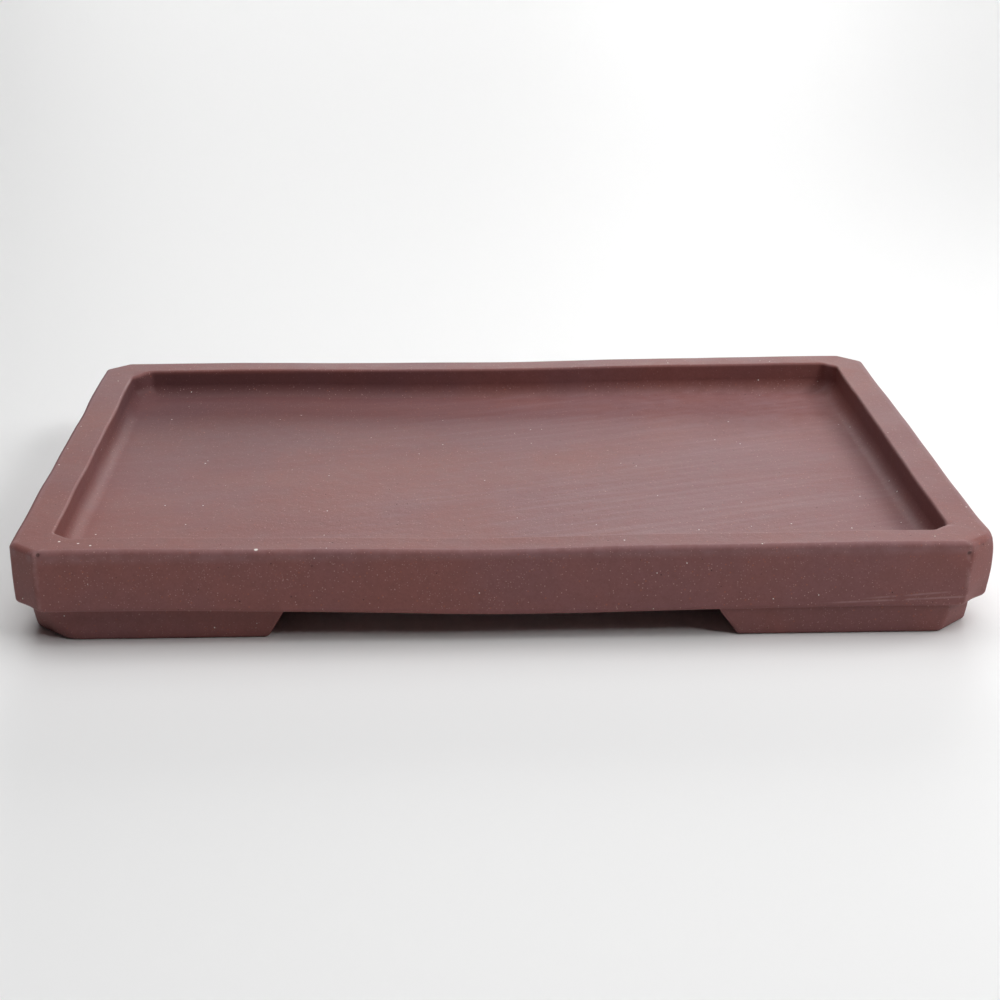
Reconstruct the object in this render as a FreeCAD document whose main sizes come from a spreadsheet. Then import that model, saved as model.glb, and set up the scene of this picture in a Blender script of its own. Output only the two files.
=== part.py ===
# Unglazed clay drip tray for a bonsai, slab-built: a floor slab with cut corners, four mitred
# walls luted round it, four seam coils smoothed into the inside angle and four bracket feet.
#
# Millimetres. The origin is the middle of the tray on the surface that it stands on, +X runs
# along the long side, +Y to the back and +Z up.

import FreeCAD, Part

import os

import Sketcher

# Each driving dimension: alias, size in mm, and what it measures.
DIMENSIONS = [
    ("tray_length", 300.0, "outside length at the rim"),
    ("tray_width", 212.0, "outside width at the rim"),
    ("tray_height", 31.0, "rim above the standing surface"),
    ("foot_height", 11.5, "underside of the tray above the standing surface"),
    ("floor_thickness", 9.5, "floor slab from underside to inside face"),
    ("rim_width", 12.0, "wall thickness at the rim"),
    ("wall_batter", 0.5, "how far the wall leans in from rim to underside"),
    ("outer_chamfer", 8.5, "leg of the cut corner on the outside"),
    ("inner_chamfer", 5.5, "leg of the cut corner on the inside"),
    ("corner_radius", 2.0, "softening of the upright edges of the cut corners"),
    ("rim_radius", 1.2, "softening of the rim's outer edge"),
    ("lip_radius", 0.8, "softening of the rim's inner edge"),
    ("skirt_radius", 1.0, "softening of the wall's lower outer edge"),
    ("cove_radius", 4.5, "hollow of the smoothed seam coil"),
    ("coil_lip", 0.3, "thickness of the coil where it feathers out on the wall"),
    ("coil_seat", 0.5, "depth of the scored seat that the coil is pressed into"),
    ("coil_margin", 0.4, "flat margin left beyond the hollow at its two edges"),
    ("toe_chamfer", 5.5, "leg of the cut corner at the toe of the coil"),
    ("foot_inset", 4.5, "foot face set in from the rim's outer edge, at the top"),
    ("foot_thickness", 12.0, "thickness of each leg of a foot, at the top"),
    ("foot_batter", 0.4, "how far the foot leans in from top to bottom"),
    ("foot_chamfer", 8.5, "leg of the cut corner of a foot"),
    ("foot_long_leg", 84.0, "end of the leg on the long side, from the tray's end, at the top"),
    ("foot_short_leg", 59.0, "end of the leg on the short side, from the tray's side, at the top"),
    ("foot_end_slope", 6.0, "how much shorter each leg is at the bottom"),
    ("foot_radius", 1.2, "softening of the lower edges and upright corners of a foot"),
]

FOLDER = "parts"
TOLERANCE = 1e-6
ON_OUTLINE = 0.6  # an edge whose middle is this near to an outline belongs to it
OFF_MITRE = 1.0  # an upright edge at least this far from the corner's diagonal isn't the mitre's

doc = FreeCAD.newDocument("BonsaiTray")


def make_sheet():
    """The spreadsheet with every driving dimension under its alias."""
    sheet = doc.addObject("Spreadsheet::Sheet", "Dimensions")
    for row, (alias, size, meaning) in enumerate(DIMENSIONS, start=1):
        sheet.set(f"A{row}", alias)
        sheet.set(f"B{row}", str(size))
        sheet.setAlias(f"B{row}", alias)
        sheet.set(f"C{row}", meaning)
    doc.recompute()
    return sheet


SHEET = make_sheet()


def cell(alias):
    """The expression for one driving dimension."""
    return f"Dimensions.{alias}"


def size(alias):
    """The number in one cell of the sheet."""
    return float(SHEET.get(alias))


HALF_LENGTH = f"({cell('tray_length')} / 2)"
HALF_WIDTH = f"({cell('tray_width')} / 2)"
FLOOR_LEVEL = f"({cell('foot_height')} + {cell('floor_thickness')})"
SEAT_LEVEL = f"({FLOOR_LEVEL} - {cell('coil_seat')})"
COIL_REACH = f"({cell('coil_lip')} + {cell('cove_radius')} + {cell('coil_margin')})"
WALL_HEIGHT = f"({cell('tray_height')} - {cell('foot_height')})"
# A 45 degree corner moved in parallel by one unit has a leg this much shorter.
LEG_LOSS = "(2 - sqrt(2))"


# Sketches ---------------------------------------------------------------------------------------


def origin_plane(body, role):
    """One of a body's own origin planes."""
    return next(feature for feature in body.Origin.OriginFeatures if feature.Role == role)


def outline(body, name, level, corners):
    """A closed level polygon at a height, every corner held by two expressions."""
    sketch = body.newObject("Sketcher::SketchObject", name)
    sketch.AttachmentSupport = [(origin_plane(body, "XY_Plane"), "")]
    sketch.MapMode = "FlatFace"
    sketch.setExpression(".AttachmentOffset.Base.z", level)
    places = [tuple(float(sketch.evalExpression(axis)) for axis in corner) for corner in corners]
    count = len(places)
    for index, (x, y) in enumerate(places):
        next_x, next_y = places[(index + 1) % count]
        start = FreeCAD.Vector(x, y, 0)
        end = FreeCAD.Vector(next_x, next_y, 0)
        sketch.addGeometry(Part.LineSegment(start, end))
    for index in range(count):
        following = (index + 1) % count
        sketch.addConstraint(Sketcher.Constraint("Coincident", index, 2, following, 1))
    for index, corner in enumerate(corners):
        for kind, axis, place in zip(("DistanceX", "DistanceY"), corner, places[index]):
            number = sketch.addConstraint(Sketcher.Constraint(kind, -1, 1, index, 1, place))
            sketch.setExpression(f"Constraints[{number}]", axis)
    return sketch


def cut_corner_outline(inset, chamfer):
    """The eight corners of the tray's plan, moved in by an inset."""
    along = f"({HALF_LENGTH} - {inset})"
    across = f"({HALF_WIDTH} - {inset})"
    quarter = [(f"{along} - {chamfer}", across), (along, f"{across} - {chamfer}")]
    corners = []
    for side_x, side_y in ((1, 1), (1, -1), (-1, -1), (-1, 1)):
        pair = quarter if side_x * side_y > 0 else quarter[::-1]
        corners += [(f"{side_x} * ({x})", f"{side_y} * ({y})") for x, y in pair]
    return corners


def strip_outline(side, outer_inset, outer_chamfer, inner_inset, inner_chamfer):
    """Plan of one side's strip between two outlines, mitred through the middle of both cut corners."""
    along, across = (HALF_LENGTH, HALF_WIDTH) if side in ("front", "back") else (HALF_WIDTH, HALF_LENGTH)
    outward = 1 if side in ("back", "right") else -1
    half = []
    for inset, chamfer in ((outer_inset, outer_chamfer), (inner_inset, inner_chamfer)):
        corner_end = (f"{along} - {inset} - {chamfer}", f"{across} - {inset}")
        mitre_end = (f"{along} - {inset} - {chamfer} / 2", f"{across} - {inset} - {chamfer} / 2")
        half.append((corner_end, mitre_end))
    (outer_corner, outer_mitre), (inner_corner, inner_mitre) = half
    right_half = [outer_corner, outer_mitre, inner_mitre, inner_corner]
    corners = [(f"({a})", f"{outward} * ({b})") for a, b in right_half]
    corners += [(f"-1 * ({a})", f"{outward} * ({b})") for a, b in reversed(right_half)]
    if side in ("front", "back"):
        return corners
    return [(b, a) for a, b in corners]


# Features ---------------------------------------------------------------------------------------


def new_body(name):
    """An empty body whose label is the sub-part's name."""
    body = doc.addObject("PartDesign::Body", name)
    body.Label = name
    return body


def pad(body, name, profile, height):
    """A sketch raised by a height."""
    feature = body.newObject("PartDesign::Pad", name)
    feature.Profile = profile
    feature.setExpression("Length", height)
    doc.recompute()


def picked(kind, elements, chosen):
    """The names of the faces or edges that chosen picks."""
    names = [f"{kind}{number}" for number, element in enumerate(elements, start=1) if chosen(element)]
    if not names:
        raise RuntimeError(f"no {kind} was found")
    return names


def lean(body, name, run, height, chosen):
    """Tilts the picked faces about their top edges, so that they run under by a length over a height."""
    base = body.Tip
    top = base.Shape.BoundBox.ZMax
    top_face = picked("Face", base.Shape.Faces, lambda face: is_level(face) and at_level(face, top))
    feature = body.newObject("PartDesign::Draft", name)
    feature.Base = (base, picked("Face", base.Shape.Faces, chosen))
    feature.NeutralPlane = (base, top_face)
    feature.Reversed = True
    feature.setExpression("Angle", f"atan({run} / {height})")
    doc.recompute()


def soften(body, name, radius, chosen):
    """A fillet on the edges of the body's last feature that chosen(edge) picks."""
    base = body.Tip
    feature = body.newObject("PartDesign::Fillet", name)
    feature.Base = (base, picked("Edge", base.Shape.Edges, chosen))
    feature.setExpression("Radius", radius)
    doc.recompute()


# Picking faces and edges ------------------------------------------------------------------------


def gap_inside(point, inset, chamfer):
    """How far a point lies inside the tray's plan moved in by an inset."""
    along = size("tray_length") / 2 - inset
    across = size("tray_width") / 2 - inset
    x = abs(point.x)
    y = abs(point.y)
    return min(along - x, across - y, (along + across - chamfer - x - y) / 2**0.5)


def is_level(element):
    """True if all of a face or an edge is at one height."""
    return element.BoundBox.ZLength < TOLERANCE


def at_level(element, level):
    """True if the middle of a face or an edge is at a height."""
    return abs(element.CenterOfMass.z - level) < TOLERANCE


def level_on_outline(level, inset, chamfer):
    """A test for level edges at a height that lie on an outline of the tray's plan."""

    def test(edge):
        near = abs(gap_inside(edge.CenterOfMass, inset, chamfer)) < ON_OUTLINE
        return is_level(edge) and at_level(edge, level) and near

    return test


def upright_on_outline(inset, chamfer):
    """A test for upright faces or edges on an outline of the tray's plan."""

    def test(element):
        near = abs(gap_inside(element.CenterOfMass, inset, chamfer)) < ON_OUTLINE
        return not is_level(element) and near

    return test


def arris_on_outline(inset, chamfer):
    """A test for upright edges on an outline of the tray's plan, apart from the mitres' own."""
    on_outline = upright_on_outline(inset, chamfer)

    def test(edge):
        middle = edge.CenterOfMass
        from_end = size("tray_length") / 2 - abs(middle.x)
        from_side = size("tray_width") / 2 - abs(middle.y)
        return on_outline(edge) and abs(from_end - from_side) > OFF_MITRE

    return test


def foot_end(face):
    """True for the face that closes either leg of a foot."""
    middle = face.CenterOfMass
    long_end = size("tray_length") / 2 - size("foot_long_leg")
    short_end = size("tray_width") / 2 - size("foot_short_leg")
    return abs(abs(middle.x) - long_end) < TOLERANCE or abs(abs(middle.y) - short_end) < TOLERANCE


# Sub-parts --------------------------------------------------------------------------------------


def make_floor_slab():
    """The slab inside the walls, its rim scored down to seat the coils, its middle the tray's floor."""
    body = new_body("floor_slab")
    slab_plan = cut_corner_outline(cell("rim_width"), cell("inner_chamfer"))
    panel_plan = cut_corner_outline(f"({cell('rim_width')} + {COIL_REACH})", cell("toe_chamfer"))
    slab = outline(body, "SlabPlan", cell("foot_height"), slab_plan)
    pad(body, "Slab", slab, f"{cell('floor_thickness')} - {cell('coil_seat')}")
    panel = outline(body, "PanelPlan", SEAT_LEVEL, panel_plan)
    pad(body, "Panel", panel, cell("coil_seat"))
    return body


def make_wall(side):
    """One mitred wall strip: battered outside, upright inside, with softened rim and skirt."""
    body = new_body(f"{side}_wall")
    outer_chamfer = size("outer_chamfer")
    inner_line = (cell("rim_width"), cell("inner_chamfer"))
    plan = strip_outline(side, "0", cell("outer_chamfer"), *inner_line)
    pad(body, "Strip", outline(body, "Plan", cell("foot_height"), plan), WALL_HEIGHT)
    lean(body, "Batter", cell("wall_batter"), WALL_HEIGHT, upright_on_outline(0, outer_chamfer))
    soften(body, "Arrises", cell("corner_radius"), arris_on_outline(size("wall_batter") / 2, outer_chamfer))
    rim = level_on_outline(size("tray_height"), 0, outer_chamfer)
    soften(body, "Rim", cell("rim_radius"), rim)
    lip = level_on_outline(size("tray_height"), size("rim_width"), size("inner_chamfer"))
    soften(body, "Lip", cell("lip_radius"), lip)
    skirt = level_on_outline(size("foot_height"), size("wall_batter"), outer_chamfer)
    soften(body, "Skirt", cell("skirt_radius"), skirt)
    return body


def make_seam_coil(side):
    """One coil pressed into the angle of wall and floor and smoothed to a hollow cove."""
    body = new_body(f"{side}_seam_coil")
    wall_inset = cell("rim_width")
    lip_inset = f"({wall_inset} + {cell('coil_lip')})"
    toe_inset = f"({wall_inset} + {COIL_REACH})"
    wall_line = (wall_inset, cell("inner_chamfer"))
    lip_chamfer = f"({cell('inner_chamfer')} - {cell('coil_lip')} * {LEG_LOSS})"
    base_plan = strip_outline(side, *wall_line, toe_inset, cell("toe_chamfer"))
    lip_plan = strip_outline(side, *wall_line, lip_inset, lip_chamfer)
    base = outline(body, "BasePlan", SEAT_LEVEL, base_plan)
    pad(body, "Base", base, cell("coil_seat"))
    lip = outline(body, "LipPlan", FLOOR_LEVEL, lip_plan)
    pad(body, "Lip", lip, f"{cell('cove_radius')} + {cell('coil_margin')}")
    floor_level = size("foot_height") + size("floor_thickness")
    lip_line = size("rim_width") + size("coil_lip")
    inside_angle = level_on_outline(floor_level, lip_line, size("inner_chamfer"))
    soften(body, "Cove", cell("cove_radius"), inside_angle)
    return body


def foot_outline(side_x, side_y):
    """Plan of one bracket foot at its top: two legs at right angles, the outer corner cut off."""
    along = f"({HALF_LENGTH} - {cell('foot_inset')})"
    across = f"({HALF_WIDTH} - {cell('foot_inset')})"
    inner_along = f"({along} - {cell('foot_thickness')})"
    inner_across = f"({across} - {cell('foot_thickness')})"
    long_end = f"({HALF_LENGTH} - {cell('foot_long_leg')})"
    short_end = f"({HALF_WIDTH} - {cell('foot_short_leg')})"
    corners = [
        (long_end, across),
        (f"{along} - {cell('foot_chamfer')}", across),
        (along, f"{across} - {cell('foot_chamfer')}"),
        (along, short_end),
        (inner_along, short_end),
        (inner_along, inner_across),
        (long_end, inner_across),
    ]
    return [(f"{side_x} * ({x})", f"{side_y} * ({y})") for x, y in corners]


def make_foot(name, side_x, side_y):
    """One bracket foot under a corner, its legs' ends sloped and its lower edges softened."""
    body = new_body(name)
    outer_line = (size("foot_inset"), size("foot_chamfer"))
    plan = outline(body, "Plan", "0", foot_outline(side_x, side_y))
    pad(body, "Bracket", plan, cell("foot_height"))
    lean(body, "Batter", cell("foot_batter"), cell("foot_height"), upright_on_outline(*outer_line))
    lean(body, "Ends", cell("foot_end_slope"), cell("foot_height"), foot_end)
    soften(body, "Arrises", cell("foot_radius"), arris_on_outline(*outer_line))
    soften(body, "Sole", cell("foot_radius"), lambda edge: is_level(edge) and at_level(edge, 0))
    return body


SIDES = ("front", "back", "left", "right")
FEET = {
    "front_left_foot": (-1, -1),
    "front_right_foot": (1, -1),
    "back_left_foot": (-1, 1),
    "back_right_foot": (1, 1),
}


def make_all():
    """Every sub-part of the tray, as bodies of the document."""
    bodies = [make_floor_slab()]
    bodies += [make_wall(side) for side in SIDES]
    bodies += [make_seam_coil(side) for side in SIDES]
    bodies += [make_foot(name, *corner) for name, corner in FEET.items()]
    doc.recompute()
    return bodies


def check(bodies):
    """Stops if any object failed to compute or any sub-part isn't one valid solid."""
    failed = [item.Name for item in doc.Objects if {"Invalid", "Error"} & set(item.State)]
    if failed:
        raise RuntimeError(f"these objects failed: {failed}")
    for body in bodies:
        shape = body.Shape
        if shape.isNull() or not shape.isValid() or len(shape.Solids) != 1:
            raise RuntimeError(f"{body.Label} isn't one valid solid")


def export(bodies):
    """One STEP file for each sub-part, named by its label."""
    os.makedirs(FOLDER, exist_ok=True)
    for body in bodies:
        body.Shape.exportStep(os.path.join(FOLDER, f"{body.Label}.step"))
        print(f"{body.Label}: {body.Shape.Volume / 1000:.1f} cm3")


BODIES = make_all()
check(BODIES)
export(BODIES)
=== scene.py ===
"""Unglazed clay bonsai tray: soft-edged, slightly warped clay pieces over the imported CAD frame.

Metres, +X along the long side, +Y to the back, +Z up. Every size comes from the frame's boxes or
is a named number of millimetres.
"""

import math

import bpy
import numpy as np
from mathutils import Euler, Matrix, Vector
from mathutils.geometry import delaunay_2d_cdt


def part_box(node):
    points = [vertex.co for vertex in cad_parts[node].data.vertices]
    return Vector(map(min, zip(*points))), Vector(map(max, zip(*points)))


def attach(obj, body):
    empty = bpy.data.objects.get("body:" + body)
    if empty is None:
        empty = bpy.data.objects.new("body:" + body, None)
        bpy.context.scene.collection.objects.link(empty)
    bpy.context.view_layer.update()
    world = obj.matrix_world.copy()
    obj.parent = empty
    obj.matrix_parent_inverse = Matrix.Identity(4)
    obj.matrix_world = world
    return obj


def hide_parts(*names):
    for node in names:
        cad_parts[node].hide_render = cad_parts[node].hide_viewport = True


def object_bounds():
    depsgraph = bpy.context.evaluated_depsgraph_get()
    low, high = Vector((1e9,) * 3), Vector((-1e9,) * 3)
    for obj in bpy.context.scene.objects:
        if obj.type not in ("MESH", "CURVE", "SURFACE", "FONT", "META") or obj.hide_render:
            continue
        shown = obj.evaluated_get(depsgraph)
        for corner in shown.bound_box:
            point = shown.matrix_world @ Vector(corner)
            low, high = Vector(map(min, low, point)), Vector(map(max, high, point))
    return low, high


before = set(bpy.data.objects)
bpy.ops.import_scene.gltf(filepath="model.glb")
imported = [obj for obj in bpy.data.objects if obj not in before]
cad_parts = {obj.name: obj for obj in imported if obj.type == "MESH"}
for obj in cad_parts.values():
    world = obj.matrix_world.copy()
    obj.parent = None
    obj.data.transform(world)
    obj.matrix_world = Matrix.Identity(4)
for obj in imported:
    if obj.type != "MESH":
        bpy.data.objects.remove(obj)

CAD_BOX = [list(corner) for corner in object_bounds()]
MM = 0.001
SEED = 7
BODY = "root"

# Sizes that the frame gives ---------------------------------------------------------------------

HALF_X = CAD_BOX[1][0]
HALF_Y = CAD_BOX[1][1]
RIM_LEVEL = CAD_BOX[1][2]
SLAB_LOW, SLAB_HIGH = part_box("floor_slab")
UNDERSIDE = SLAB_LOW.z
FLOOR_LEVEL = SLAB_HIGH.z
RIM_WIDTH = HALF_X - SLAB_HIGH.x
COIL_LOW, COIL_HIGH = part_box("back_seam_coil")
SEAT_LEVEL = COIL_LOW.z
COVE_HEIGHT = COIL_HIGH.z - FLOOR_LEVEL
FOOT_LOW, FOOT_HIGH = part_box("back_right_foot")

# Given sizes ------------------------------------------------------------------------------------

# The wall's lean on the outside and its thickening downwards on the inside, and the cove's reach.
WALL_BATTER = 0.3 * MM
WALL_TAPER = 0.6 * MM
COVE_WIDTH = 4.8 * MM
RIM_RADIUS = 1.6 * MM
LIP_RADIUS = 0.9 * MM
SKIRT_RADIUS = 1.8 * MM
ARRIS_RADIUS = 2.0 * MM
INNER_ARRIS_RADIUS = 3.0 * MM
FOOT_RADIUS = 1.2 * MM
FOOT_THICKNESS = 12.0 * MM
FOOT_CUT = 8.5 * MM
FOOT_BATTER = 0.4 * MM
FOOT_END_SLOPE = 6.0 * MM

# Legs of the cut corners on the outside and on the inside; no two are quite alike.
OUTER_CUTS = {
    "front_left": 8.5 * MM,
    "front_right": 8.3 * MM,
    "back_right": 8.2 * MM,
    "back_left": 7.7 * MM,
}
INNER_CUTS = {
    "front_left": 5.5 * MM,
    "front_right": 5.3 * MM,
    "back_right": 5.2 * MM,
    "back_left": 6.2 * MM,
}

# The sides in turn, anticlockwise from above, each with the corners at its start and end.
SIDES = {
    "front": ("front_left", "front_right"),
    "right": ("front_right", "back_right"),
    "back": ("back_right", "back_left"),
    "left": ("back_left", "front_left"),
}
# Unit steps along each side and out of it.
ALONG = {"front": (1, 0), "right": (0, 1), "back": (-1, 0), "left": (0, -1)}
OUTWARD = {"front": (0, -1), "right": (1, 0), "back": (0, 1), "left": (-1, 0)}
# Each foot's quarter of the tray, how far it was set off its true place (x, y), the softening of its
# cut corner's upright edges and how much more of the corner is worn off at the sole.
FEET = {
    "front_left_foot": (-1, -1, -0.6 * MM, 0.4 * MM, 8.0 * MM, 4.0 * MM),
    "front_right_foot": (1, -1, -0.4 * MM, -2.4 * MM, 3.0 * MM, 2.0 * MM),
    "back_left_foot": (-1, 1, 0.3 * MM, 0.4 * MM, 4.0 * MM, 1.5 * MM),
    "back_right_foot": (1, 1, -0.2 * MM, -0.3 * MM, 3.0 * MM, 1.0 * MM),
}

# Spacing of mesh points along the sides, over flat faces and round the wall's section; pieces in each
# arc and in half of each cut corner; how far a flat face's points keep from its edge; the gap under
# which points are one; and the turn between faces that is left sharp.
STATION_STEP = 1.2 * MM
CAP_STEP = 3.0 * MM
PROFILE_STEP = 1.0 * MM
ARC_STEPS = 8
DIAGONAL_STEPS = 4
CLEAR_OF_EDGE = CAP_STEP / 3
MERGE_GAP = 1e-9
SHARP_TURN = math.radians(40)


# Outlines and profiles --------------------------------------------------------------------------


def blend(start, end, share):
    """The value a share of the way from start to end."""
    return start + (end - start) * share


def side_line(side, inset):
    """Points along one side at an inset, from the middle of one cut corner to the next."""
    along, out = (HALF_X, HALF_Y) if side in ("front", "back") else (HALF_Y, HALF_X)
    along -= inset
    out -= inset
    share = inset / RIM_WIDTH
    radius = blend(ARRIS_RADIUS, INNER_ARRIS_RADIUS, min(share, 1.0))
    trim = radius * math.tan(math.pi / 8)
    ends = []
    for corner in SIDES[side]:
        cut = blend(OUTER_CUTS[corner], INNER_CUTS[corner], min(share, 1.0))
        points = []
        for step in range(DIAGONAL_STEPS):
            reach = blend(cut / 2, cut - trim / math.sqrt(2), step / DIAGONAL_STEPS)
            points.append((along - reach, out - cut + reach))
        for step in range(ARC_STEPS + 1):
            angle = blend(math.pi / 4, math.pi / 2, step / ARC_STEPS)
            centre = along - cut - trim
            points.append((centre + radius * math.cos(angle), out - radius + radius * math.sin(angle)))
        ends.append(points)
    start = [(-place, depth) for place, depth in ends[0]]
    end = ends[1][::-1]
    length = 2 * (HALF_X if side in ("front", "back") else HALF_Y)
    count = round(length / STATION_STEP)
    middle = [
        (blend(start[-1][0], end[0][0], step / count), out) for step in range(1, count)
    ]
    return np.array(start + middle + end)


def place_side(side, line, level):
    """Puts a side's line of (along, outward) pairs into the frame at a level."""
    along = np.array(ALONG[side])
    outward = np.array(OUTWARD[side])
    flat = line[:, :1] * along + line[:, 1:] * outward
    return np.column_stack([flat, np.full(len(flat), level)])


def stretches(corners, step):
    """How many pieces each straight stretch of a closed loop of corners is cut into."""
    places = np.array([corner[:2] for corner in corners])
    lengths = np.linalg.norm(np.roll(places, -1, axis=0) - places, axis=1)
    return np.maximum(1, np.round(lengths / step)).astype(int)


def rounded(corners, counts):
    """A closed loop through (x, y, radius) corners, with arcs at them and counted pieces between."""
    arcs = []
    for index, (x, y, radius) in enumerate(corners):
        here = np.array([x, y])
        if radius == 0:
            arcs.append([here])
            continue
        before = np.array(corners[index - 1][:2]) - here
        after = np.array(corners[(index + 1) % len(corners)][:2]) - here
        before /= np.linalg.norm(before)
        after /= np.linalg.norm(after)
        half = math.acos(float(before @ after)) / 2
        middle = (before + after) / np.linalg.norm(before + after)
        centre = here + middle * radius / math.sin(half)
        first = here + before * radius / math.tan(half) - centre
        last = here + after * radius / math.tan(half) - centre
        spokes = [blend(first, last, share) for share in np.linspace(0, 1, ARC_STEPS + 1)]
        arcs.append([centre + spoke * radius / np.linalg.norm(spoke) for spoke in spokes])
    loop = []
    for arc, following, count in zip(arcs, arcs[1:] + arcs[:1], counts):
        loop += arc
        loop += [blend(arc[-1], following[0], piece / count) for piece in range(1, count)]
    return np.array(loop)


def wall_profile():
    """The wall's section as (inset, level) pairs: inner face, rim, outer face and underside."""
    corners = [
        (RIM_WIDTH + WALL_TAPER, UNDERSIDE, 0),
        (RIM_WIDTH, RIM_LEVEL, LIP_RADIUS),
        (0, RIM_LEVEL, RIM_RADIUS),
        (WALL_BATTER, UNDERSIDE, SKIRT_RADIUS),
    ]
    return rounded(corners, stretches(corners, PROFILE_STEP))


def wall_face(level):
    """How far the wall's inner face is set in at a level."""
    return RIM_WIDTH + WALL_TAPER * (RIM_LEVEL - level) / (RIM_LEVEL - UNDERSIDE)


TOE_INSET = wall_face(COIL_HIGH.z) + COVE_WIDTH


def coil_profile():
    """The seam coil's section: a hollow quarter from wall to floor, and its back in the angle."""
    hollow = []
    for angle in np.linspace(math.pi, 1.5 * math.pi, 3 * ARC_STEPS + 1):
        inset = TOE_INSET + COVE_WIDTH * math.cos(angle)
        level = COIL_HIGH.z + COVE_HEIGHT * math.sin(angle)
        hollow.append((inset, level))
    back = [(TOE_INSET, SEAT_LEVEL), (wall_face(SEAT_LEVEL), SEAT_LEVEL)]
    return np.array(hollow + back)


# Warp -------------------------------------------------------------------------------------------


def smoothstep(value):
    """0 below 0, 1 above 1 and smooth between."""
    value = np.clip(value, 0.0, 1.0)
    return value * value * (3 - 2 * value)


WAVES = np.random.default_rng(SEED)
WAVE_COUNT = 24
SHORTEST_WAVE = 16 * MM
LONGEST_WAVE = 75 * MM
WAVE_LENGTHS = WAVES.uniform(SHORTEST_WAVE, LONGEST_WAVE, WAVE_COUNT)
WAVE_WAYS = WAVES.normal(size=(WAVE_COUNT, 3))
WAVE_WAYS /= np.linalg.norm(WAVE_WAYS, axis=1)[:, None]
WAVE_PHASES = WAVES.uniform(0, 2 * math.pi, WAVE_COUNT)
WAVE_SWINGS = WAVES.normal(size=(WAVE_COUNT, 3)) * WAVE_LENGTHS[:, None] / LONGEST_WAVE
WAVE_HEIGHT = 0.055 * MM

# The sag between the feet at the underside and at the rim: middle, width and depth.
UNDER_SAG = np.array([10 * MM, 70 * MM, 1.9 * MM])
RIM_SAG = np.array([-12 * MM, 52 * MM, 0.65 * MM])
# How much lower than true the underside is, how much more it drops at the right end, and how far the
# rim's right end is twisted down at the front and up at the back.
UNDER_DROP = 0.6 * MM
RIGHT_DROP = 1.7 * MM
TWIST = 0.6 * MM

# A dip of the front rim, small knocks and worn corners: place, reach and move, in millimetres.
DENTS = [
    ((-5, -106, 31), 70.0, (0.0, 0.0, -0.65)),
    ((141, -106, 27), 1.5, (0.0, 1.0, 0.0)),
    ((137.6, -88.7, 31), 1.5, (-0.5, -0.4, -0.5)),
    ((-140, -106, 30.7), 1.2, (0.0, 0.5, -0.3)),
    ((148, -103, 11), 6.0, (-1.8, 0.4, 0.0)),
    ((150, -98, 24), 13.0, (1.2, -0.2, 0.0)),
    ((150, -98, 31), 3.0, (-0.5, 0.3, -0.4)),
    ((-148, -103, 11), 6.0, (0.8, 0.3, 0.2)),
    ((-137, 89, 30), 3.0, (0.6, -0.6, -0.3)),
]


def warp(points):
    """Where kiln and hand have moved points of the true shape: sag, twist, slow waves and knocks."""
    turns = 2 * math.pi * (points @ WAVE_WAYS.T) / WAVE_LENGTHS + WAVE_PHASES
    moved = np.sin(turns) @ WAVE_SWINGS * WAVE_HEIGHT
    x, y, z = points.T
    height = np.clip((z - UNDERSIDE) / (RIM_LEVEL - UNDERSIDE), 0, 1)
    middle, width, depth = blend(UNDER_SAG[:, None], RIM_SAG[:, None], height)
    right = smoothstep(x / HALF_X)
    moved[:, 2] -= depth * np.exp(-(((x - middle) / width) ** 2))
    moved[:, 2] -= UNDER_DROP * (1 - height)
    moved[:, 2] -= right * blend(RIGHT_DROP, -TWIST * y / HALF_Y, height)
    for place, reach, move in DENTS:
        gap = np.linalg.norm(points - np.array(place) * MM, axis=1)
        moved += np.exp(-((gap / (reach * MM)) ** 2))[:, None] * np.array(move) * MM
    grounded = smoothstep(z / UNDERSIDE)
    moved *= grounded[:, None]
    return points + moved


# Meshes -----------------------------------------------------------------------------------------


def make_piece(name, points, faces):
    """A mesh piece, smooth but for its sharp turns, standing for a CAD node."""
    mesh = bpy.data.meshes.new(name)
    mesh.from_pydata(warp(points).tolist(), [], faces)
    mesh.validate()
    for polygon in mesh.polygons:
        polygon.use_smooth = True
    mesh.set_sharp_from_angle(angle=SHARP_TURN)
    piece = bpy.data.objects.new(f"{name}_clay", mesh)
    bpy.context.scene.collection.objects.link(piece)
    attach(piece, BODY)
    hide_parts(name)
    return piece


def sweep(name, side, profile):
    """A closed profile of (inset, level) pairs swept along one side, closed at both mitres."""
    rows = [place_side(side, side_line(side, inset), level) for inset, level in profile]
    rings = np.array(rows).transpose(1, 0, 2)
    stations, count, _ = rings.shape
    faces = []
    for station in range(stations - 1):
        for index in range(count):
            following = (index + 1) % count
            here = station * count
            there = here + count
            faces.append((here + index, there + index, there + following, here + following))
    last = stations * count
    faces.append(tuple(range(count)))
    faces.append(tuple(range(last - 1, last - count - 1, -1)))
    return make_piece(name, rings.reshape(-1, 3), faces)


def closed_outline(inset):
    """The tray's whole outline at an inset, without the doubled points in the mitres."""
    return np.vstack([place_side(side, side_line(side, inset), 0)[:-1, :2] for side in SIDES])


def filled(outline):
    """Triangles over a closed outline with a grid of points inside it: (points, triangles)."""
    low = outline.min(0)
    high = outline.max(0)
    counts = np.maximum(2, np.round((high - low) / CAP_STEP).astype(int))
    across = np.linspace(low[0], high[0], counts[0] + 1)[1:-1]
    down = np.linspace(low[1], high[1], counts[1] + 1)[1:-1]
    grid = np.array([(x, y) for x in across for y in down])
    inside = grid[well_inside(grid, outline, CLEAR_OF_EDGE)]
    points = [Vector(point) for point in np.vstack([outline, inside])]
    border = list(range(len(outline)))
    made = delaunay_2d_cdt(points, [], [border], 1, MERGE_GAP)
    return np.array([list(point) for point in made[0]]), [tuple(face) for face in made[2]]


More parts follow.
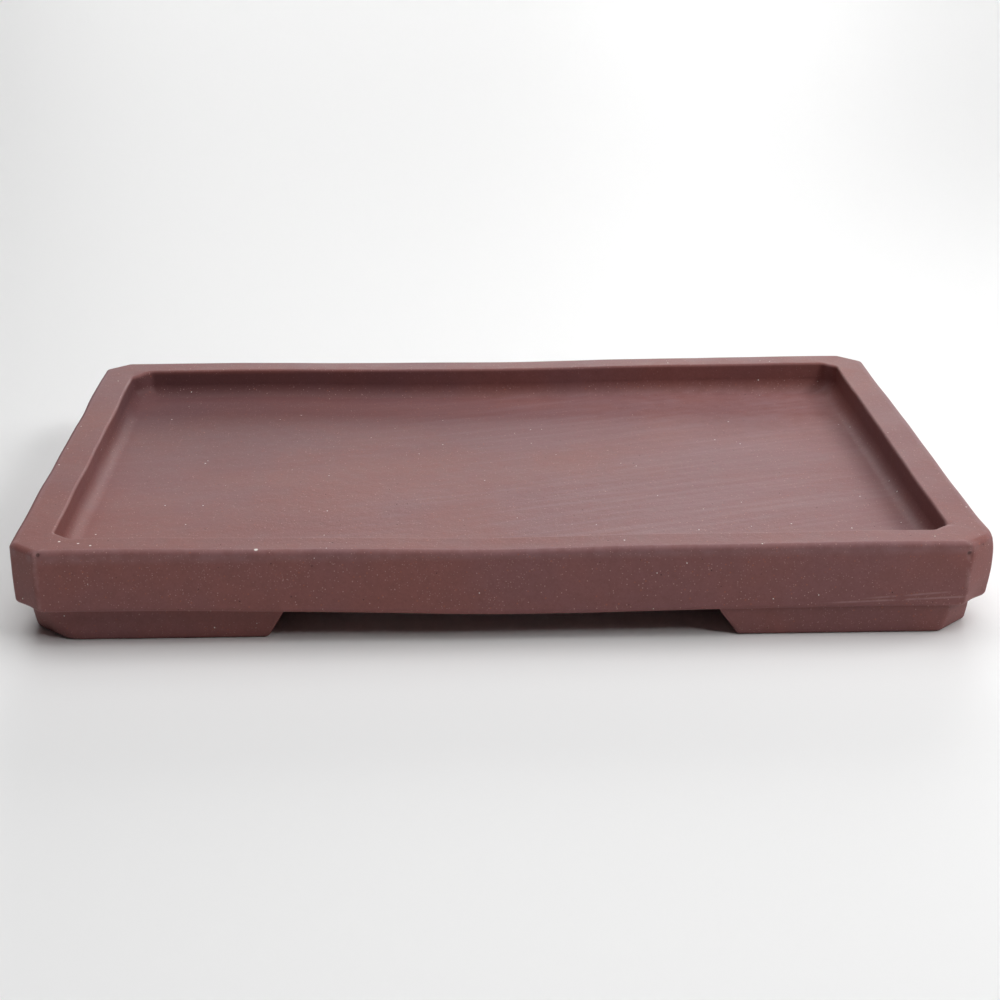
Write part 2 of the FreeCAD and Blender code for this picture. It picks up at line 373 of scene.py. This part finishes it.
def well_inside(grid, outline, margin):
    """Which grid points are inside an outline and further than a margin from it."""
    start = outline
    end = np.roll(outline, -1, axis=0)
    inside = np.zeros(len(grid), bool)
    nearest = np.full(len(grid), np.inf)
    for (x1, y1), (x2, y2) in zip(start, end):
        crosses = (y1 > grid[:, 1]) != (y2 > grid[:, 1])
        with np.errstate(divide="ignore", invalid="ignore"):
            at = (x2 - x1) * (grid[:, 1] - y1) / (y2 - y1) + x1
        inside ^= crosses & (grid[:, 0] < at)
        span = np.array([x2 - x1, y2 - y1])
        along = np.clip(((grid - (x1, y1)) @ span) / (span @ span), 0, 1)
        gap = np.linalg.norm(grid - (x1, y1) - along[:, None] * span, axis=1)
        nearest = np.minimum(nearest, gap)
    return inside & (nearest > margin)


def stack(name, rings, levels):
    """A solid from closed outlines at rising levels, its top and bottom filled."""
    count = len(rings[0])
    points = [np.column_stack([ring, np.full(count, level)]) for ring, level in zip(rings, levels)]
    faces = []
    for layer in range(len(rings) - 1):
        for index in range(count):
            following = (index + 1) % count
            low = layer * count
            high = low + count
            faces.append((low + index, low + following, high + following, high + index))
    total = count * len(rings)
    for layer, turn in ((0, -1), (len(rings) - 1, 1)):
        fill, triangles = filled(rings[layer])
        points.append(np.column_stack([fill[count:], np.full(len(fill) - count, levels[layer])]))
        first = layer * count
        numbers = list(range(first, first + count)) + list(range(total, total + len(fill) - count))
        total += len(fill) - count
        faces += [tuple(numbers[corner] for corner in face[::turn]) for face in triangles]
    return make_piece(name, np.vstack(points), faces)


def make_slab():
    """The floor slab: its underside, its sides against the walls, the coils' seat and the floor."""
    edge = closed_outline(wall_face(UNDERSIDE))
    seat = closed_outline(wall_face(SEAT_LEVEL))
    panel = closed_outline(TOE_INSET)
    rings = [edge, seat, panel, panel]
    levels = [UNDERSIDE, SEAT_LEVEL, SEAT_LEVEL, FLOOR_LEVEL]
    return stack("floor_slab", rings, levels)


def foot_corners(place, level, inset):
    """The corners and softening of a foot's plan at a level, moved in by an inset."""
    side_x, side_y, off_x, off_y, arris, wear = place
    lift = 1 - level / UNDERSIDE
    batter = FOOT_BATTER * lift + inset
    slope = FOOT_END_SLOPE * lift + inset
    along = FOOT_HIGH.x - batter
    across = FOOT_HIGH.y - batter
    inner_along = FOOT_HIGH.x - FOOT_THICKNESS + inset
    inner_across = FOOT_HIGH.y - FOOT_THICKNESS + inset
    long_end = FOOT_LOW.x + slope
    short_end = FOOT_LOW.y + slope
    cut = FOOT_CUT + wear * lift**2 - inset * (2 - math.sqrt(2))
    soft = arris - inset / 2
    end_soft = FOOT_RADIUS - inset / 2
    corners = [
        (long_end, across, end_soft),
        (long_end, inner_across, end_soft),
        (inner_along, inner_across, end_soft),
        (inner_along, short_end, end_soft),
        (along, short_end, end_soft),
        (along, across - cut, soft),
        (along - cut, across, soft),
    ]
    placed = [(side_x * x + off_x, side_y * y + off_y, radius) for x, y, radius in corners]
    return placed if side_x * side_y > 0 else placed[::-1]


def make_foot(name, place):
    """One bracket foot, its sole's edge rounded."""
    turns = np.linspace(0, math.pi / 2, ARC_STEPS + 1)
    levels = [FOOT_RADIUS * (1 - math.cos(turn)) for turn in turns]
    insets = [FOOT_RADIUS * (1 - math.sin(turn)) for turn in turns]
    upper = np.linspace(FOOT_RADIUS, UNDERSIDE, ARC_STEPS)[1:]
    levels += list(upper)
    insets += [0.0] * len(upper)
    counts = stretches(foot_corners(place, UNDERSIDE, 0.0), STATION_STEP)
    plans = [foot_corners(place, level, inset) for level, inset in zip(levels, insets)]
    return stack(name, [rounded(plan, counts) for plan in plans], levels)


def make_tray():
    """Every clay piece of the tray."""
    pieces = [make_slab()]
    for side in SIDES:
        pieces.append(sweep(f"{side}_wall", side, wall_profile()))
        pieces.append(sweep(f"{side}_seam_coil", side, coil_profile()))
    for name, place in FEET.items():
        pieces.append(make_foot(name, place))
    return pieces


# Stage ------------------------------------------------------------------------------------------

CAMERA_PLACE = (-0.02156, -0.66828, 0.24329)
CAMERA_PITCH = math.radians(19.34)
CAMERA_YAW = math.radians(-2.02)
CAMERA_LENS = 71.96
CAMERA_SENSOR = 36.0


def make_camera():
    """The photographer's camera: low in front of the tray, a little left of its middle."""
    data = bpy.data.cameras.new("camera")
    data.lens = CAMERA_LENS
    data.sensor_width = CAMERA_SENSOR
    camera = bpy.data.objects.new("camera", data)
    camera.location = CAMERA_PLACE
    camera.rotation_euler = Euler((math.pi / 2 - CAMERA_PITCH, 0, CAMERA_YAW))
    bpy.context.scene.collection.objects.link(camera)
    bpy.context.scene.camera = camera


# The floor's reach in metres, its colour and its roughness.
FLOOR_REACH = 60.0
FLOOR_PALE = (0.84, 0.84, 0.84, 1)
FLOOR_ROUGHNESS = 0.5


def make_floor():
    """A plain pale floor."""
    mesh = bpy.data.meshes.new("studio_floor")
    corners = [(x * FLOOR_REACH, y * FLOOR_REACH, 0) for x, y in ((-1, -1), (1, -1), (1, 1), (-1, 1))]
    mesh.from_pydata(corners, [], [(0, 1, 2, 3)])
    floor = bpy.data.objects.new("studio_floor", mesh)
    bpy.context.scene.collection.objects.link(floor)
    material = bpy.data.materials.new("studio_floor")
    material.use_nodes = True
    shader = material.node_tree.nodes["Principled BSDF"]
    shader.inputs["Base Color"].default_value = FLOOR_PALE
    shader.inputs["Roughness"].default_value = FLOOR_ROUGHNESS
    mesh.materials.append(material)


FILL_LEVEL = 0.04
# Broad far lights: azimuth from +X and elevation in degrees, angular size in degrees and level.
FAR_LIGHTS = {
    "overhead": (0, 90, 60, 0.39),
    "key": (-35, 37, 11, 0.19),
    "back": (100, 60, 45, 0.21),
    "horizon": (90, 10, 25, 0.17),
    "horizon_right": (73, 10, 25, 0.14),
}
# Square softboxes near the tray: place in metres, size in metres and level.
SOFTBOXES = {
    "side_box": ((0.60, 0.0, 0.45), 0.4, 0.28),
    "side_front_box": ((0.45, -0.20, 0.55), 0.4, 0.13),
}


def make_lights():
    """Soft studio light, strongest from above and from the right; a level of 1 shows full white."""
    world = bpy.data.worlds.new("studio")
    bpy.context.scene.world = world
    world.use_nodes = True
    world.node_tree.nodes["Background"].inputs["Color"].default_value = (1, 1, 1, 1)
    world.node_tree.nodes["Background"].inputs["Strength"].default_value = FILL_LEVEL
    for name, (azimuth, elevation, spread, level) in FAR_LIGHTS.items():
        data = bpy.data.lights.new(name, "SUN")
        data.angle = math.radians(spread)
        data.energy = math.pi * level
        flat = math.cos(math.radians(elevation))
        way = (
            flat * math.cos(math.radians(azimuth)),
            flat * math.sin(math.radians(azimuth)),
            math.sin(math.radians(elevation)),
        )
        place_light(data, way)
    for name, (place, size, level) in SOFTBOXES.items():
        data = bpy.data.lights.new(name, "AREA")
        data.size = size
        data.energy = math.pi**2 * Vector(place).length_squared * level
        place_light(data, place)


def place_light(data, place):
    """Puts a light at a place, aimed at the tray."""
    light = bpy.data.objects.new(data.name, data)
    light.location = place
    light.rotation_euler = Vector(place).to_track_quat("Z", "Y").to_euler()
    bpy.context.scene.collection.objects.link(light)


# Clay -------------------------------------------------------------------------------------------

CLAY_RED = (0.246, 0.094, 0.084, 1)
CLAY_PURPLE = (0.224, 0.096, 0.096, 1)
SHADE = (0.17, 0.066, 0.060, 1)
PALE_GRAIN = (0.46, 0.27, 0.245, 1)
WHITE_GRAIN = (0.86, 0.80, 0.76, 1)
RUST_GRAIN = (0.36, 0.115, 0.075, 1)
# Painted shade for the insides of pits and knocks.
PIT_SHADE = (0.055, 0.024, 0.024, 1)
# Painted shade for the recess toward the back left.
BACK_LEFT_SHADE = (0.095, 0.045, 0.052, 1)
# Pale chalk of the bloom, also used for painted light in the recess and a painted reflection at the rim.
CHALK_AND_PAINTED_LIGHT = (0.40, 0.30, 0.34, 1)
WORN = (0.33, 0.19, 0.185, 1)

# Noises: size of a feature, detail and roughness.
CLOUD = (45 * MM, 4.0, 0.55)
MOTTLE = (5 * MM, 4.0, 0.6)
GRIT = (0.9 * MM, 3.0, 0.7)
BLOOM = (60 * MM, 3.0, 0.6)
STREAKS = (3.2 * MM, 4.0, 0.6)
# Values of a noise between which it counts for more and more.
CLOUD_EDGES = (0.35, 0.65)
MOTTLE_HOLLOWS = (0.62, 0.30)
GRIT_HOLLOWS = (0.60, 0.30)
BLOOM_EDGES = (0.25, 0.66)
STREAK_EDGES = (0.42, 0.70)
FAR_PAINTED_LIGHT_EDGES = (0.20, 0.70)
RIM_REFLECTION_EDGES = (0.30, 0.70)
ARRIS_EDGES = (0.35, 0.60)
SCRAPE_EDGES = (0.30, 0.55)
# How strongly each colour covers the clay.
MOTTLE_SHARE = 0.22
GRIT_SHARE = 0.30
BLOOM_SHARE = 0.06
STREAK_SHARE = 0.11
LEFT_PAINTED_LIGHT_SHARE = 0.3
FAR_PAINTED_LIGHT_SHARE = 0.12
BACK_LEFT_SHADE_SHARE = 0.55
RIM_REFLECTION_SHARE = 0.06
RIM_REFLECTION_PATCH_SHARE = 0.10
ARRIS_SHARE = 0.45
SCRAPE_SHARE = 0.7
PIT_SHADE_SHARE = 0.7
# The brush strokes of the bloom: their turn from the X axis and how far they are drawn out.
BRUSH_TURN = math.radians(17)
BRUSH_DRAW = 18.0

# Grog: spacing, share of the places that hold a grain, largest radius, strength and colour.
GROG = [
    (0.75 * MM, 0.6, 0.22 * MM, 0.42, PALE_GRAIN),
    (1.7 * MM, 0.4, 0.36 * MM, 0.6, RUST_GRAIN),
    (1.3 * MM, 0.45, 0.27 * MM, 0.85, PALE_GRAIN),
]
BRIGHT_GRAINS = (4.5 * MM, 0.4, 0.34 * MM)
PITS = (3.1 * MM, 0.25, 0.33 * MM)
# A grain's smallest radius and its soft edge, as shares of the largest radius.
LEAST_GRAIN = 0.4
GRAIN_EDGE = 0.35

# Marks that stand out: place in millimetres and radius.
WHITE_MARKS = [
    (148, -74, 30.8, 0.6),
    (-75, -104.6, 30.3, 0.8),
    (23, -31, 21, 0.8),
    (-62, -16, 21, 0.5),
    (-129, -99, 31, 0.45),
    (-125, -101, 31, 0.45),
    (-135, -97, 31, 0.5),
]
# Painted shade in the hollows of knocks: place in millimetres and radius.
KNOCK_SHADE_MARKS = [
    (141, -93, 31, 0.5),
    (-140, -105.3, 29.7, 0.8),
    (141, -105, 27, 1.1),
]
# Scrape lines low on the front wall's right end: start (x, z) and end (x, z) in millimetres.
SCRAPES = [((106, 12.2), (137, 14.4)), ((94, 10.9), (143, 12.8))]
SCRAPE_WIDTH = 0.45 * MM
SCRAPE_RUN_IN = 12
SCRAPE_RUN_OUT = 4

# Height of the full relief, and each part's share of it.
RELIEF = 0.12 * MM
GRIT_HEIGHT = 0.35
MOTTLE_HEIGHT = 0.9
PIT_DEPTH = 1.2
GRAIN_HEIGHT = 0.4
LEAST_ROUGHNESS = 0.46
ROUGHNESS_RANGE = 0.2
SPECULAR_LEVEL = 0.22


class Recipe:
    """Shorthand for laying out one material's nodes."""

    def __init__(self, name):
        self.material = bpy.data.materials.new(name)
        self.material.use_nodes = True
        self.nodes = self.material.node_tree.nodes
        self.links = self.material.node_tree.links
        self.shader = self.nodes["Principled BSDF"]

    def feed(self, socket, value):
        """Gives a socket another node's output or a plain value."""
        if isinstance(value, bpy.types.NodeSocket):
            self.links.new(value, socket)
        else:
            socket.default_value = value

    def step(self, operation, *values):
        """One arithmetic step."""
        node = self.nodes.new("ShaderNodeMath")
        node.operation = operation
        for socket, value in zip(node.inputs, values):
            self.feed(socket, value)
        return node.outputs[0]

    def product(self, first, *others):
        """Several values multiplied."""
        for other in others:
            first = self.step("MULTIPLY", first, other)
        return first

    def rise(self, value, low, high):
        """0 where a value is on low's side, 1 on high's side and smooth between."""
        node = self.nodes.new("ShaderNodeMapRange")
        node.interpolation_type = "SMOOTHSTEP"
        self.feed(node.inputs["Value"], value)
        node.inputs["From Min"].default_value = low
        node.inputs["From Max"].default_value = high
        return node.outputs[0]

    def mix(self, share, first, second):
        """A blend of two colours."""
        node = self.nodes.new("ShaderNodeMix")
        node.data_type = "RGBA"
        self.feed(node.inputs["Factor"], share)
        self.feed(node.inputs[6], first)
        self.feed(node.inputs[7], second)
        return node.outputs[2]

    def noise(self, where, grain, detail, roughness):
        """Cloudy noise with features about one grain across."""
        node = self.nodes.new("ShaderNodeTexNoise")
        self.feed(node.inputs["Vector"], where)
        node.inputs["Scale"].default_value = 1 / grain
        node.inputs["Detail"].default_value = detail
        node.inputs["Roughness"].default_value = roughness
        return node.outputs["Fac"]

    def grains(self, where, cell, share, radius):
        """Round grains of mixed sizes up to a radius, in this share of the cells of a loose lattice."""
        node = self.nodes.new("ShaderNodeTexVoronoi")
        self.feed(node.inputs["Vector"], where)
        node.inputs["Scale"].default_value = 1 / cell
        draw = self.nodes.new("ShaderNodeSeparateColor")
        self.links.new(node.outputs["Color"], draw.inputs[0])
        chosen = self.step("LESS_THAN", draw.outputs[0], share)
        largest = radius / cell
        least = LEAST_GRAIN * largest
        size = self.step("MULTIPLY_ADD", draw.outputs[1], largest - least, least)
        depth = self.step("SUBTRACT", size, node.outputs["Distance"])
        return self.product(chosen, self.rise(depth, 0.0, GRAIN_EDGE * largest))

    def spots(self, where, places):
        """Soft round spots at (x, y, z, radius) places in millimetres, as one mask."""
        mask = 0.0
        for x, y, z, radius in places:
            node = self.nodes.new("ShaderNodeVectorMath")
            node.operation = "DISTANCE"
            self.feed(node.inputs[0], where)
            node.inputs[1].default_value = (x * MM, y * MM, z * MM)
            spot = self.rise(node.outputs["Value"], radius * MM, 0.5 * radius * MM)
            mask = self.step("MAXIMUM", spot, mask)
        return mask

    def stretched(self, where, turn, draw):
        """Places turned about the vertical and drawn out along the turned X axis."""
        node = self.nodes.new("ShaderNodeMapping")
        node.vector_type = "TEXTURE"
        self.feed(node.inputs["Vector"], where)
        node.inputs["Rotation"].default_value = (0, 0, turn)
        node.inputs["Scale"].default_value = (draw, 1, 1)
        return node.outputs[0]


class Clay(Recipe):
    """The tray's clay: where a point is on the tray, two noises, and the colour laid on so far."""

    def __init__(self):
        super().__init__("clay")
        self.where = self.nodes.new("ShaderNodeTexCoord").outputs["Object"]
        split = self.nodes.new("ShaderNodeSeparateXYZ")
        self.links.new(self.where, split.inputs[0])
        self.x, self.y, self.z = split.outputs
        gap_x = self.step("SUBTRACT", HALF_X, self.step("ABSOLUTE", self.x))
        gap_y = self.step("SUBTRACT", HALF_Y, self.step("ABSOLUTE", self.y))
        self.inset = self.step("MINIMUM", gap_x, gap_y)
        self.spread = self.step("ABSOLUTE", self.step("SUBTRACT", gap_x, gap_y))
        self.upper = self.rise(self.z, UNDERSIDE + 2 * MM, UNDERSIDE + 4 * MM)
        self.mottle = self.noise(self.where, *MOTTLE)
        self.grit = self.noise(self.where, *GRIT)
        self.colour = CLAY_RED

    def tint(self, share, colour):
        """Lays a share of a colour over the clay."""
        self.colour = self.mix(share, self.colour, colour)

    def lay_body(self):
        """Red and purple clouds, darker in the hollows of the mottle and of the grit."""
        self.tint(self.rise(self.noise(self.where, *CLOUD), *CLOUD_EDGES), CLAY_PURPLE)
        self.tint(self.product(self.rise(self.mottle, *MOTTLE_HOLLOWS), MOTTLE_SHARE), SHADE)
        self.tint(self.product(self.rise(self.grit, *GRIT_HOLLOWS), GRIT_SHARE), SHADE)

    def bloom_and_light_recess(self):
        """A chalky bloom of brushed streaks in the recess, with painted light: thin at the left, thick
        and paler at the back right.
        """
        brushed = self.noise(self.stretched(self.where, BRUSH_TURN, BRUSH_DRAW), *STREAKS)
        streaks = self.step("MULTIPLY_ADD", self.rise(brushed, *STREAK_EDGES), STREAK_SHARE, BLOOM_SHARE)
        cloud = self.rise(self.noise(self.where, *BLOOM), *BLOOM_EDGES)
        # Painted light: the bloom thickens from the left to the right.
        right = self.rise(self.x, -130 * MM, 60 * MM)
        side = self.step("MULTIPLY_ADD", right, 1 - LEFT_PAINTED_LIGHT_SHARE, LEFT_PAINTED_LIGHT_SHARE)
        bloom_and_light = self.product(cloud, side, streaks)
        # Painted light: a paler patch toward the back right.
        far = self.product(self.rise(self.x, -20 * MM, 90 * MM), self.rise(self.y, -10 * MM, 60 * MM))
        far = self.product(far, FAR_PAINTED_LIGHT_SHARE, self.rise(self.mottle, *FAR_PAINTED_LIGHT_EDGES))
        recess = self.product(self.rise(self.inset, RIM_WIDTH, RIM_WIDTH + 4 * MM), self.upper)
        self.tint(self.product(self.step("ADD", bloom_and_light, far), recess), CHALK_AND_PAINTED_LIGHT)

    def paint_back_left_shade(self):
        """Painted shade on the wall's inner face and the recess floor toward the back left."""
        corner = self.product(self.rise(self.x, 60 * MM, -120 * MM), self.rise(self.y, -20 * MM, 80 * MM))
        face = self.product(
            self.rise(self.inset, RIM_WIDTH - 1 * MM, RIM_WIDTH),
            self.rise(self.z, RIM_LEVEL - 0.8 * MM, RIM_LEVEL - 2 * MM),
            self.upper,
        )
        # Painted shade, strongest at the back left of the recess.
        self.tint(self.product(corner, face, BACK_LEFT_SHADE_SHARE), BACK_LEFT_SHADE)

    def paint_rim_edge_reflection(self):
        """Painted reflection: a greyer band, in patches, along the rim's rounded outer edge."""
        band = self.product(
            self.rise(self.inset, 3 * MM, 1.2 * MM),
            self.rise(self.z, RIM_LEVEL - 5 * MM, RIM_LEVEL - 2.5 * MM),
        )
        patches = self.rise(self.mottle, *RIM_REFLECTION_EDGES)
        share = self.step("MULTIPLY_ADD", patches, RIM_REFLECTION_PATCH_SHARE, RIM_REFLECTION_SHARE)
        # Painted reflection of the sky on the rounded edge.
        self.tint(self.product(band, share), CHALK_AND_PAINTED_LIGHT)

    def wear_arrises(self):
        """Paler clay along the upright edges of the cut corners."""
        off = self.step("ABSOLUTE", self.step("SUBTRACT", self.spread, OUTER_CUTS["front_left"]))
        worn = self.product(
            self.rise(off, 1.5 * MM, 0.2 * MM),
            self.rise(self.inset, 4 * MM, 1 * MM),
            self.rise(self.mottle, *ARRIS_EDGES),
            ARRIS_SHARE,
        )
        self.tint(worn, WORN)

    def scrape_front(self):
        """The pale lines that a trimming tool left low on the front wall."""
        front = self.rise(self.y, -HALF_Y + 3 * MM, -HALF_Y + 1.5 * MM)
        lines = 0.0
        for (start_x, start_z), (end_x, end_z) in SCRAPES:
            slope = (end_z - start_z) / (end_x - start_x)
            level = self.step("MULTIPLY_ADD", self.x, -slope, self.z)
            off = self.step("SUBTRACT", level, (start_z - slope * start_x) * MM)
            line = self.rise(self.step("ABSOLUTE", off), SCRAPE_WIDTH, 0.2 * SCRAPE_WIDTH)
            begun = self.rise(self.x, start_x * MM, (start_x + SCRAPE_RUN_IN) * MM)
            ended = self.rise(self.x, end_x * MM, (end_x - SCRAPE_RUN_OUT) * MM)
            lines = self.step("MAXIMUM", self.product(line, begun, ended, front), lines)
        self.tint(self.product(lines, self.rise(self.mottle, *SCRAPE_EDGES), SCRAPE_SHARE), WORN)

    def add_grog(self):
        """Grog, bright grains and pits, the pits and knocks darkened with painted shade; returns the
        masks of the bright grains and of the pits and knocks.
        """
        for cell, share, radius, strength, colour in GROG:
            self.tint(self.product(self.grains(self.where, cell, share, radius), strength), colour)
        bright = self.grains(self.where, *BRIGHT_GRAINS)
        bright = self.step("MAXIMUM", bright, self.spots(self.where, WHITE_MARKS))
        self.tint(bright, WHITE_GRAIN)
        # Painted shade: pits and knocks darkened where their hollows lie in shadow.
        pits = self.grains(self.where, *PITS)
        pits = self.step("MAXIMUM", pits, self.spots(self.where, KNOCK_SHADE_MARKS))
        self.tint(self.product(pits, PIT_SHADE_SHARE), PIT_SHADE)
        return bright, pits

    def raise_relief(self, bright, pits):
        """The fine relief of grit, mottle, pits and grains, as a normal."""
        height = self.product(self.grit, GRIT_HEIGHT)
        height = self.step("ADD", height, self.product(self.mottle, MOTTLE_HEIGHT))
        height = self.step("SUBTRACT", height, self.product(pits, PIT_DEPTH))
        height = self.step("ADD", height, self.product(bright, GRAIN_HEIGHT))
        bump = self.nodes.new("ShaderNodeBump")
        bump.inputs["Strength"].default_value = 1.0
        bump.inputs["Distance"].default_value = RELIEF
        self.links.new(height, bump.inputs["Height"])
        return bump.outputs[0]


def make_clay():
    """Purple-brown unglazed stoneware with grog, pits, worn arrises and a chalky bloom in the recess;
    painted shade in pits, knocks and the recess's back left, painted light in the bloom and a painted
    reflection along the rim's edge.
    """
    clay = Clay()
    clay.lay_body()
    clay.bloom_and_light_recess()
    clay.paint_back_left_shade()
    clay.paint_rim_edge_reflection()
    clay.wear_arrises()
    clay.scrape_front()
    bright, pits = clay.add_grog()
    roughness = clay.step("MULTIPLY_ADD", clay.mottle, ROUGHNESS_RANGE, LEAST_ROUGHNESS)
    clay.feed(clay.shader.inputs["Base Color"], clay.colour)
    clay.feed(clay.shader.inputs["Roughness"], roughness)
    clay.feed(clay.shader.inputs["Normal"], clay.raise_relief(bright, pits))
    clay.shader.inputs["Specular IOR Level"].default_value = SPECULAR_LEVEL
    return clay.material


make_camera()
make_floor()
make_lights()
clay = make_clay()
for piece in make_tray():
    piece.data.materials.append(clay)
bpy.context.scene.view_settings.view_transform = "Standard"
